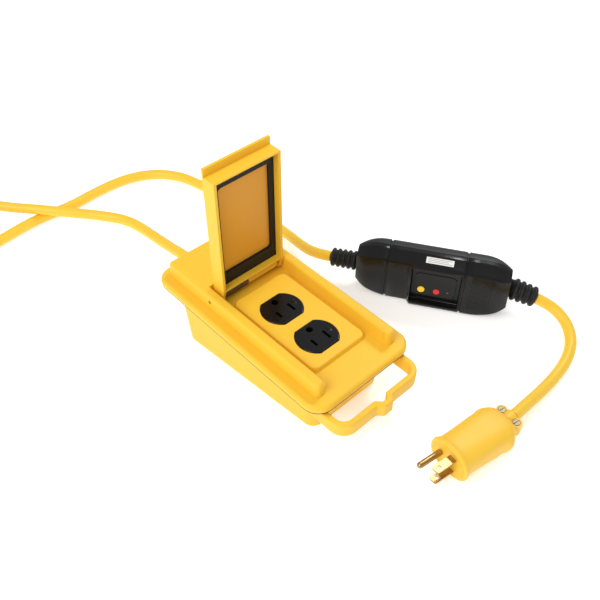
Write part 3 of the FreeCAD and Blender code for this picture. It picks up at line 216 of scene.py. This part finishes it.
LOOKS = {
    "yellow_shell": moulded("yellow_shell", (0.88, 0.525, 0.036), 0.42, 900.0, 0.00004, shine=0.30, scatter=0.04),
    "amber_panel": moulded("amber_panel", (0.72, 0.325, 0.026), 0.40, 700.0, 0.00002, shine=0.35),
    "black_rubber": moulded("black_rubber", (0.007, 0.007, 0.007), 0.50, 1400.0, 0.00006, shine=0.3),
    "black_moulding": moulded("black_moulding", (0.0045, 0.0045, 0.005), 0.20, 1200.0, 0.00003, shine=0.28),
    "grey_moulding": moulded("grey_moulding", (0.014, 0.0145, 0.016), 0.36, 1600.0, 0.00006, shine=0.4),
    "yellow_cap": moulded("yellow_cap", (0.88, 0.60, 0.02), 0.25, 900.0, 0.00002),
    "red_cap": moulded("red_cap", (0.62, 0.015, 0.012), 0.25, 900.0, 0.00002),
    "clear_lens": moulded("clear_lens", (0.45, 0.12, 0.10), 0.12, 900.0, 0.00001),
    "green_board": moulded("green_board", (0.012, 0.10, 0.035), 0.4, 700.0, 0.00003),
    # The steel's base colour is darker and browner than bright steel: painted shade, standing for the shadow on the
    # hinge spring under the lid's hinge wall.
    "stainless": metal("stainless", (0.20, 0.17, 0.12), 0.40),
    "brass_metal": metal("brass_metal", (0.46, 0.30, 0.12), 0.30),
    "green_metal": metal("green_metal", (0.06, 0.32, 0.10), 0.3),
    "copper_winding": metal("copper_winding", (0.60, 0.26, 0.12), 0.35),
    "yellow_jacket": moulded("yellow_jacket", (0.87, 0.545, 0.030), 0.42, 1100.0, 0.00004, scatter=0.05),
    "yellow_collar": moulded("yellow_collar", (0.88, 0.525, 0.034), 0.46, 900.0, 0.00003),
    "lead_black": moulded("lead_black", (0.012, 0.012, 0.012), 0.4, 1100.0, 0.00003),
    "lead_white": moulded("lead_white", (0.75, 0.75, 0.72), 0.4, 1100.0, 0.00003),
    "label_grey": moulded("label_grey", (0.30, 0.30, 0.30), 0.5, 1100.0, 0.00001),
    "lead_green": moulded("lead_green", (0.02, 0.22, 0.05), 0.4, 1100.0, 0.00003),
}


def dress(piece, look):
    """Give a piece its material: the look of the given name, as its only material."""
    piece.data.materials.clear()
    piece.data.materials.append(LOOKS[look])


for entry in frame["record"]["subparts"]:
    dress(nodes[entry["node"]], entry["material_slot"])
dress(main_cord, "yellow_jacket")
dress(plug_cord, "yellow_jacket")


# ------------------------------------------------------------ mesh building

MODULE_PLACE = Matrix.Translation((0.140, -0.0125, 0)) @ Matrix.Rotation(math.radians(-57.5), 4, "Z")
PLUG_PLACE = (Matrix.Translation((0.0094, -0.1416, 0.0155)) @ Matrix.Rotation(math.radians(-7), 4, "Z")
              @ Matrix.Rotation(math.radians(1.4), 4, "Y"))
BACKWARD = Matrix.Rotation(math.radians(180), 4, "Z")


def shift(x, y, z):
    return Matrix.Translation((x * MM, y * MM, z * MM))


def piece_from(name, points, faces, place, look, smooth=True):
    """A mesh piece from points in millimetres, put in place and given its look."""
    data = bpy.data.meshes.new(name)
    data.from_pydata([(x * MM, y * MM, z * MM) for x, y, z in points], [], faces)
    data.transform(place)
    builder = bmesh.new()
    builder.from_mesh(data)
    bmesh.ops.recalc_face_normals(builder, faces=builder.faces)
    builder.to_mesh(data)
    builder.free()
    for face in data.polygons:
        face.use_smooth = smooth
    piece = bpy.data.objects.new(name, data)
    bpy.context.scene.collection.objects.link(piece)
    dress(piece, look)
    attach(piece, "box")
    return piece


def soften(piece, width, segments=3, angle=28.0):
    """Rounded edges on a piece made here."""
    bevel = piece.modifiers.new("rounded", "BEVEL")
    bevel.width = width * MM
    bevel.segments = segments
    bevel.limit_method = "ANGLE"
    bevel.angle_limit = math.radians(angle)
    bevel.harden_normals = True
    return piece


def rings_to_mesh(rings):
    """Join rings of points, each with the same count, into a skin with flat ends."""
    count = len(rings[0])
    points = [point for ring in rings for point in ring]
    faces = []
    for row in range(len(rings) - 1):
        for step in range(count):
            after = (step + 1) % count
            faces.append((row * count + step, row * count + after,
                          (row + 1) * count + after, (row + 1) * count + step))
    faces.append(tuple(range(count))[::-1])
    faces.append(tuple((len(rings) - 1) * count + step for step in range(count)))
    return points, faces


def turned(name, outline, place, look, steps=64):
    """A piece turned about its own x axis from (along, radius) pairs."""
    rings = []
    for along, radius in outline:
        rings.append([(along, radius * math.cos(2 * math.pi * step / steps),
                       radius * math.sin(2 * math.pi * step / steps)) for step in range(steps)])
    points, faces = rings_to_mesh(rings)
    return piece_from(name, points, faces, place, look)


def smooth_outline(outline, steps=5):
    """More stations between the given ones, on a smooth curve through them."""
    dense = []
    last = len(outline) - 1
    for number in range(last):
        before, start = outline[max(0, number - 1)], outline[number]
        end, after = outline[number + 1], outline[min(last, number + 2)]
        span = end[0] - start[0]
        slope_in = (end[1] - before[1]) / max(0.001, end[0] - before[0])
        slope_out = (after[1] - start[1]) / max(0.001, after[0] - start[0])
        for step in range(steps):
            t = step / steps
            radius = ((2 * t ** 3 - 3 * t ** 2 + 1) * start[1] + (t ** 3 - 2 * t ** 2 + t) * span * slope_in
                      + (3 * t ** 2 - 2 * t ** 3) * end[1] + (t ** 3 - t ** 2) * span * slope_out)
            dense.append((start[0] + span * t, radius))
    dense.append(outline[last])
    return dense


def slab(name, corners, thick_low, thick_high, place, look, round_by):
    """A plate drawn by its corners in local x and z, between two depths in local y."""
    count = len(corners)
    points = [(x, thick_low, z) for x, z in corners] + [(x, thick_high, z) for x, z in corners]
    faces = [tuple(range(count)), tuple(range(count, 2 * count))[::-1]]
    faces += [(step, (step + 1) % count, count + (step + 1) % count, count + step) for step in range(count)]
    return soften(piece_from(name, points, faces, place, look), round_by)


def block(name, low, high, place, look, round_by):
    """A rectangular piece between two corners, with rounded edges."""
    corners = [(low[0], low[2]), (high[0], low[2]), (high[0], high[2]), (low[0], high[2])]
    return slab(name, corners, low[1], high[1], place, look, round_by)


# --------------------------------------------------- ribbed strain reliefs

def ribbed_sleeve(name, near_radius, far_radius, length, ribs, place, node):
    """A rubber sleeve with raised rings, open round the cord at its far end."""
    outline = [(-3.0, near_radius * 0.78), (0.0, near_radius * 0.78)]
    pitch = length / ribs
    for rib in range(ribs):
        start = rib * pitch
        crest = near_radius + (far_radius - near_radius) * rib / (ribs - 1)
        hollow = crest * 0.82
        outline += [(start + 0.04 * pitch, hollow), (start + 0.20 * pitch, hollow),
                    (start + 0.34 * pitch, crest * 0.96), (start + 0.46 * pitch, crest),
                    (start + 0.70 * pitch, crest), (start + 0.82 * pitch, crest * 0.96),
                    (start + 0.96 * pitch, hollow)]
    outline += [(length, far_radius * 0.80), (length, CORD_RADIUS + 0.4), (length - 2.0, CORD_RADIUS + 0.05)]
    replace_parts(turned(name, outline, place, "black_rubber"), node)


ribbed_sleeve("sleeve_line", 8.5, 8.2, 23.5, 5, MODULE_PLACE @ shift(-63.6, 0, 23.5) @ BACKWARD, "strain_relief_line")
LOAD_PLACE = (shift(177.2, -70.6, 22.95) @ Matrix.Rotation(math.radians(-61.5), 4, "Z")
              @ Matrix.Rotation(math.radians(12), 4, "Y"))
ribbed_sleeve("sleeve_load", 9.7, 8.9, 21.5, 4, LOAD_PLACE, "strain_relief_load")


# ----------------------------------------------------- ground fault module

LINE_END = -63.5
LOAD_END = 67.0
SPLIT = 2.0
GROOVES = (-36.0, 29.2)

# The housing's section: (y, z) round it, from under the front to under the back.
MODULE_SECTION = [(-12.6, 0.5), (-14.2, 1.6), (-15, 3.6), (-15, 24), (-15, 41.6), (-14.3, 43.4), (-12.6, 44.2),
                  (-4.6, 45.9), (-3.4, 46.6), (-1.8, 47), (6, 47), (9.4, 46.5), (11.4, 45), (14.3, 41), (15, 38.6),
                  (15, 24), (15, 5), (14, 2.2), (12, 0.5)]


def end_share(x, reach):
    """How far a station is into the nearer tapered end: 0 in the straight part, 1 at the tip."""
    return max(0.0, (x - (LOAD_END - reach)) / reach, (LINE_END + reach - x) / reach)


def foot_forward(x, z):
    """How far the front stands out toward its foot, from the panel to the load end."""
    rise = min(1.0, max(0.0, (x + 17.0) / 3.0))
    return 5.0 * rise * max(0.0, 1.0 - 0.78 * max(0.0, z - 3) / 39.0)


def module_ring(x, shrink=0.0):
    """The section at one station: foot, back and crown draw in toward each end."""
    foot = 11.5 * end_share(x, 30.0) ** 1.9
    crown = 6.0 * end_share(x, 20.0) ** 2.2
    back = 10.0 * end_share(x, 24.0) ** 2.0
    front = 5.0 * end_share(x, 12.0) ** 2
    ring = []
    for y, z in MODULE_SECTION:
        low = max(0.0, (24 - z) / 24)
        high = max(0.0, (z - 24) / 23)
        rear = max(0.0, y / 15)
        near = max(0.0, -y / 15)
        y -= foot_forward(x, z) * near
        z += foot * low ** 0.7 - crown * high + shrink * (low - high)
        y += front * near - back * rear + shrink * (near - rear)
        ring.append((x, y, z))
    return ring


def module_stations():
    """Closer stations near the ends, and a narrow step in at each groove."""
    from_tip = [0, 0.5, 1.5, 3, 5, 7.5, 10.5, 14, 18, 22]
    groove = [(-1.0, 0.0), (-0.7, 0.8), (0.7, 0.8), (1.0, 0.0)]
    stations = [(LINE_END + step, 0.0) for step in from_tip]
    stations += [(GROOVES[0] + step, depth) for step, depth in groove]
    stations += [(x, 0.0) for x in (-28, -20, -17, -16, -15, -14, -10, 0, 14)]
    stations += [(GROOVES[1] + step, depth) for step, depth in groove]
    stations += [(36, 0.0), (40, 0.0)]
    stations += [(LOAD_END - step, 0.0) for step in from_tip[::-1]]
    return stations


def split_housing(name, look, front):
    """One half of the housing: what lies in front of, or behind, the joint plane."""
    points, faces = rings_to_mesh([module_ring(x, shrink) for x, shrink in module_stations()])
    piece = piece_from(name, points, faces, Matrix.Identity(4), look)
    builder = bmesh.new()
    builder.from_mesh(piece.data)
    side = 1 if front else -1
    joint = (SPLIT - 0.15 * side) * MM
    parts = builder.verts[:] + builder.edges[:] + builder.faces[:]
    sliced = bmesh.ops.bisect_plane(builder, geom=parts, plane_co=(0, joint, 0), plane_no=(0, side, 0),
                                    clear_outer=True)
    rim = [item for item in sliced["geom_cut"] if isinstance(item, bmesh.types.BMEdge)]
    bmesh.ops.edgeloop_fill(builder, edges=rim)
    builder.to_mesh(piece.data)
    builder.free()
    piece.data.transform(MODULE_PLACE)
    return piece


def cut_away(piece, tool):
    """Take a tool's volume out of a piece for good, and drop the tool."""
    cutting = piece.modifiers.new("cutting", "BOOLEAN")
    cutting.object = tool
    cutting.operation = "DIFFERENCE"
    cutting.solver = "EXACT"
    shaped = bpy.data.meshes.new_from_object(piece.evaluated_get(bpy.context.evaluated_depsgraph_get()))
    piece.modifiers.clear()
    piece.data = shaped
    bpy.data.objects.remove(tool, do_unlink=True)


def hollow_out(piece, low, high, round_by, look):
    """Cut a rounded rectangular recess, in the module's own frame, out of a piece."""
    cut_away(piece, block("tool", low, high, MODULE_PLACE, look, round_by))
    dress(piece, look)


def keep_creases(piece, angle=32.0):
    """Smooth shading across gentle bends, a crease at the sharper ones."""
    for face in piece.data.polygons:
        face.use_smooth = True
    piece.data.set_sharp_from_angle(angle=math.radians(angle))


PANEL_LEFT, PANEL_RIGHT, PANEL_LOW, PANEL_HIGH = -14.6, 27.4, 5.2, 41.2
module_front = split_housing("module_front", "black_moulding", True)
module_rear = split_housing("module_rear", "grey_moulding", False)
hollow_out(module_front, (PANEL_LEFT, -24, PANEL_LOW), (PANEL_RIGHT, -13.3, PANEL_HIGH), 1.2, "black_moulding")
for shell in (module_front, module_rear):
    keep_creases(shell)
    soften(shell, 0.25, 2, 32.0)
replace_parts(module_front, "gfci_front_housing")
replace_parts(module_rear, "gfci_rear_housing")

BUTTON_Z = 17.0
PANEL_GAP = 0.6
PANEL_CORNERS = [(PANEL_LEFT + PANEL_GAP, PANEL_LOW + PANEL_GAP), (PANEL_RIGHT - PANEL_GAP, PANEL_LOW + PANEL_GAP),
                 (PANEL_RIGHT - PANEL_GAP, PANEL_HIGH - PANEL_GAP), (PANEL_LEFT + PANEL_GAP, PANEL_HIGH - PANEL_GAP)]

# Where the yellow button, the red button and the indicator come through: (x, hole radius).
FRONT_HOLES = [(-5.2, 3.4), (7.9, 3.2), (17.4, 0.95)]
HOLE_STEPS = 24


def button_holes(piece):
    """Open the panel round each button and the indicator."""
    for x, radius in FRONT_HOLES:
        ring = []
        for step in range(HOLE_STEPS):
            angle = math.radians(step * 360 / HOLE_STEPS)
            ring.append((x + radius * math.cos(angle), BUTTON_Z + radius * math.sin(angle)))
        tool = slab("tool", ring, -20, -10, MODULE_PLACE, "black_moulding", 0.01)
        tool.modifiers.clear()
        cut_away(piece, tool)
    dress(piece, "black_moulding")


module_panel = slab("module_panel", PANEL_CORNERS, -13.75, -13.1, MODULE_PLACE, "black_moulding", 0.2)
button_holes(module_panel)
keep_creases(module_panel)
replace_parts(module_panel, "gfci_panel")

# A raised field round the buttons, with sloping ends, between two dark slots.
FIELD = [(-11.6, 12.6), (-8.6, 10.4), (20.4, 10.4), (23.6, 12.6),
         (23.6, 33.0), (20.4, 35.2), (-8.6, 35.2), (-11.6, 33.0)]
panel_field = slab("panel_field", FIELD, -14.35, -13.6, MODULE_PLACE, "black_moulding", 0.3)
button_holes(panel_field)
keep_creases(panel_field)
for name, low, high in (("slot_rim_low", 6.6, 7.5), ("slot_rim_high", 38.6, 39.5)):
    slab(name, [(-8.4, low), (18.6, low), (18.6, high), (-8.4, high)], -14.3, -13.6,
         MODULE_PLACE, "black_moulding", 0.3)

# A blank plate on the sloping shoulder, with plain lines and nothing written.
LABEL_PLACE = MODULE_PLACE @ shift(0, -12.4, 44.35) @ Matrix.Rotation(math.radians(-78.5), 4, "X")
slab("blank_label", [(-4.6, 1.6), (18.6, 1.6), (18.6, 9.8), (-4.6, 9.8)], -0.1, 0.1,
     LABEL_PLACE, "lead_white", 0.05)
for number in range(4):
    left, right = -3.2, 17.0 - 3 * (number % 2)
    foot, head = 2.9 + 1.7 * number, 3.5 + 1.7 * number
    slab("label_line_%d" % number, [(left, foot), (right, foot), (right, head), (left, head)], -0.14, 0.05,
         LABEL_PLACE, "label_grey", 0.02)


DOT_PITCH = 2.3
DOT_ROWS = 13


def grip_dots(name, first_x, columns):
    """Rows of small raised dots moulded into the housing's front."""
    points = []
    faces = []
    for column in range(columns):
        for row in range(DOT_ROWS):
            x = first_x + DOT_PITCH * column
            z = 8.6 + DOT_PITCH * row
            y = -14.95 - foot_forward(x, z)
            start = len(points)
            points += [(x - 0.7, y, z - 0.45), (x + 0.7, y, z - 0.45),
                       (x + 0.7, y, z + 0.45), (x - 0.7, y, z + 0.45),
                       (x - 0.5, y - 0.35, z - 0.25), (x + 0.5, y - 0.35, z - 0.25),
                       (x + 0.5, y - 0.35, z + 0.25), (x - 0.5, y - 0.35, z + 0.25)]
            faces += [(start + a, start + b, start + c, start + d) for a, b, c, d in
                      ((0, 1, 5, 4), (1, 2, 6, 5), (2, 3, 7, 6), (3, 0, 4, 7), (4, 5, 6, 7))]
    return piece_from(name, points, faces, MODULE_PLACE, "black_moulding", smooth=False)


grip_dots("grip_right", 36.0, 8)


# -------------------------------------------------------------------- plug

PLUG_OUTLINE = [(0, 16.9), (0.5, 17.8), (2.2, 18.1), (4, 17.3), (7.5, 16.4), (22, 16.2), (38, 16.6), (49, 15.4),
                (54, 13.6), (56, 10.8)]
PLUG_FLATNESS = 0.76


def plug_ring(along, half_width, steps=72):
    """An oval, squarer toward the cord end, with a swelling at each side there."""
    swell = 2.6 * math.exp(-((along - 46.0) / 4.4) ** 4)
    squareness = 2.3 + 1.1 * min(1.0, max(0.0, along / 30.0))
    ring = []
    for step in range(steps):
        angle = 2 * math.pi * step / steps
        sideways, upward = math.cos(angle), math.sin(angle)
        reach = (abs(sideways) ** squareness + abs(upward) ** squareness) ** (-1 / squareness)
        width = half_width * reach + swell * abs(sideways) ** 3
        ring.append((along, width * sideways, half_width * reach * PLUG_FLATNESS * upward))
    return ring


plug_rings = [plug_ring(0.9, 13.0), plug_ring(0.6, 14.6), plug_ring(0.0, 15.4)]
plug_rings += [plug_ring(along, half_width) for along, half_width in smooth_outline(PLUG_OUTLINE, 6)]
points, faces = rings_to_mesh(plug_rings)
plug_shell = piece_from("plug_shell", points, faces, PLUG_PLACE, "yellow_collar")
keep_creases(plug_shell, 40.0)
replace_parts(plug_shell, "plug_body")


# ---------------------------------------------------------------- painted shadow lip

def painted_shadow_lip():
    """A thin black strip just under the cover's skirt, shaped as the gasket's lip: painted shadow, a fine dark line
    standing for the shade under the skirt.
    """
    half, front, rear, corner = 49.9, -69.9, 121.9, 13.9
    rings = []
    for inset, z in ((0.0, 45.45), (0.0, 44.6), (2.0, 44.6), (2.0, 45.45)):
        ring = []
        for middle_x, middle_y, start in ((half - corner, rear - corner, 0),
                                          (corner - half, rear - corner, 90),
                                          (corner - half, front + corner, 180),
                                          (half - corner, front + corner, 270)):
            for step in range(9):
                turn = math.radians(start + 11.25 * step)
                ring.append((middle_x + (corner - inset) * math.cos(turn),
                             middle_y + (corner - inset) * math.sin(turn), z))
        rings.append(ring)
    count = len(rings[0])
    points = [point for ring in rings for point in ring]
    faces = []
    for row in range(4):
        below = (row + 1) % 4
        for step in range(count):
            after = (step + 1) % count
            faces.append((row * count + step, row * count + after, below * count + after, below * count + step))
    return piece_from("painted_shadow_lip", points, faces, Matrix.Identity(4), "black_rubber", smooth=False)


# The black strip under the skirt is painted shadow, not a visible part of the gasket.
painted_shadow_lip()


# ------------------------------------------------------ outlet face lands

def dome(name, centre, half_x, half_y, height, look):
    """A low oval swelling on a flat face."""
    rings = []
    for step in range(9):
        angle = math.radians(90 * step / 9)
        rings.append([(centre[0] + half_x * math.cos(angle) * math.cos(2 * math.pi * turn / 32),
                       centre[1] + half_y * math.cos(angle) * math.sin(2 * math.pi * turn / 32),
                       centre[2] + height * math.sin(angle)) for turn in range(32)])
    points, faces = rings_to_mesh(rings)
    return piece_from(name, points, faces, Matrix.Identity(4), look)


HALF_OUTLET_PITCH = 19.45
for number, middle in enumerate((-HALF_OUTLET_PITCH, HALF_OUTLET_PITCH)):
    dome("outlet_land_%d" % number, (8.8, middle - 1.0, 55.95), 1.9, 3.4, 0.55, "black_moulding")


# ---------------------------------------------------------------- coil tie

def coil_tie(angle):
    """A strap round the wound cords at one place."""
    place = (shift(COIL_MIDDLE[0], COIL_MIDDLE[1], 0) @ Matrix.Rotation(math.radians(angle), 4, "Z")
             @ shift(COIL_RADIUS, 0, 0))
    reach, low, high, thick = 5.4, 1.0, COIL_TOP + 5.6, 1.1
    rings = []
    for y in (-4.0, 4.0):
        ring = []
        for depth in (0.0, thick):
            for corner in range(4):
                for step in range(5):
                    turn = math.radians(90 * corner + 22.5 * step)
                    middle_x = (reach - 3) * (1 if corner in (0, 3) else -1)
                    middle_z = high - 3 if corner in (0, 1) else low + 3
                    ring.append((middle_x + (3 + depth) * math.cos(turn), y,
                                 middle_z + (3 + depth - 0.4) * math.sin(turn)))
        rings.append(ring)
    inner_near, outer_near = rings[0][:20], rings[0][20:]
    inner_far, outer_far = rings[1][:20], rings[1][20:]
    points = inner_near + outer_near + inner_far + outer_far
    faces = []
    for step in range(20):
        after = (step + 1) % 20
        for a, b in ((0, 20), (20, 60), (60, 40), (40, 0)):
            faces.append((a + step, a + after, b + after, b + step))
    return soften(piece_from("coil_tie", points, faces, place, "black_rubber"), 0.3)


coil_tie(200.0)


# ------------------------------------------------------- floor and lighting

def make_floor():
    side = 6.0
    data = bpy.data.meshes.new("floor")
    corners = [(-side, -side, 0), (side, -side, 0), (side, side, 0), (-side, side, 0)]
    data.from_pydata(corners, [], [(0, 1, 2, 3)])
    floor = bpy.data.objects.new("floor", data)
    floor.location.z = -0.0002
    bpy.context.scene.collection.objects.link(floor)
    material, tree, links, shader = new_material("floor")
    shader.inputs["Base Color"].default_value = (0.96, 0.96, 0.96, 1.0)
    shader.inputs["Roughness"].default_value = 0.8
    shader.inputs["Emission Color"].default_value = (1.0, 1.0, 1.0, 1.0)
    shader.inputs["Emission Strength"].default_value = 0.35
    data.materials.append(material)
    floor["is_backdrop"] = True


def make_light(name, place, target, size, power):
    data = bpy.data.lights.new(name, "AREA")
    data.shape = "SQUARE"
    data.size = size
    data.energy = power
    light = bpy.data.objects.new(name, data)
    light.location = place
    light.rotation_euler = (Vector(target) - Vector(place)).to_track_quat("-Z", "Y").to_euler()
    bpy.context.scene.collection.objects.link(light)
    light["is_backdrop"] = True


make_floor()
make_light("key", (-1.05, -0.10, 1.15), (0.0, 0.0, 0.0), 1.0, 14.3)
make_light("rim", (0.95, 0.22, 1.15), (0.0, 0.0, 0.05), 0.35, 7.0)
world = bpy.data.worlds.new("studio")
world.use_nodes = True
world.node_tree.nodes["Background"].inputs["Color"].default_value = (1.0, 1.0, 1.0, 1.0)
world.node_tree.nodes["Background"].inputs["Strength"].default_value = 0.55
bpy.context.scene.world = world
bpy.context.scene.view_settings.view_transform = "Standard"

low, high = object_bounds()
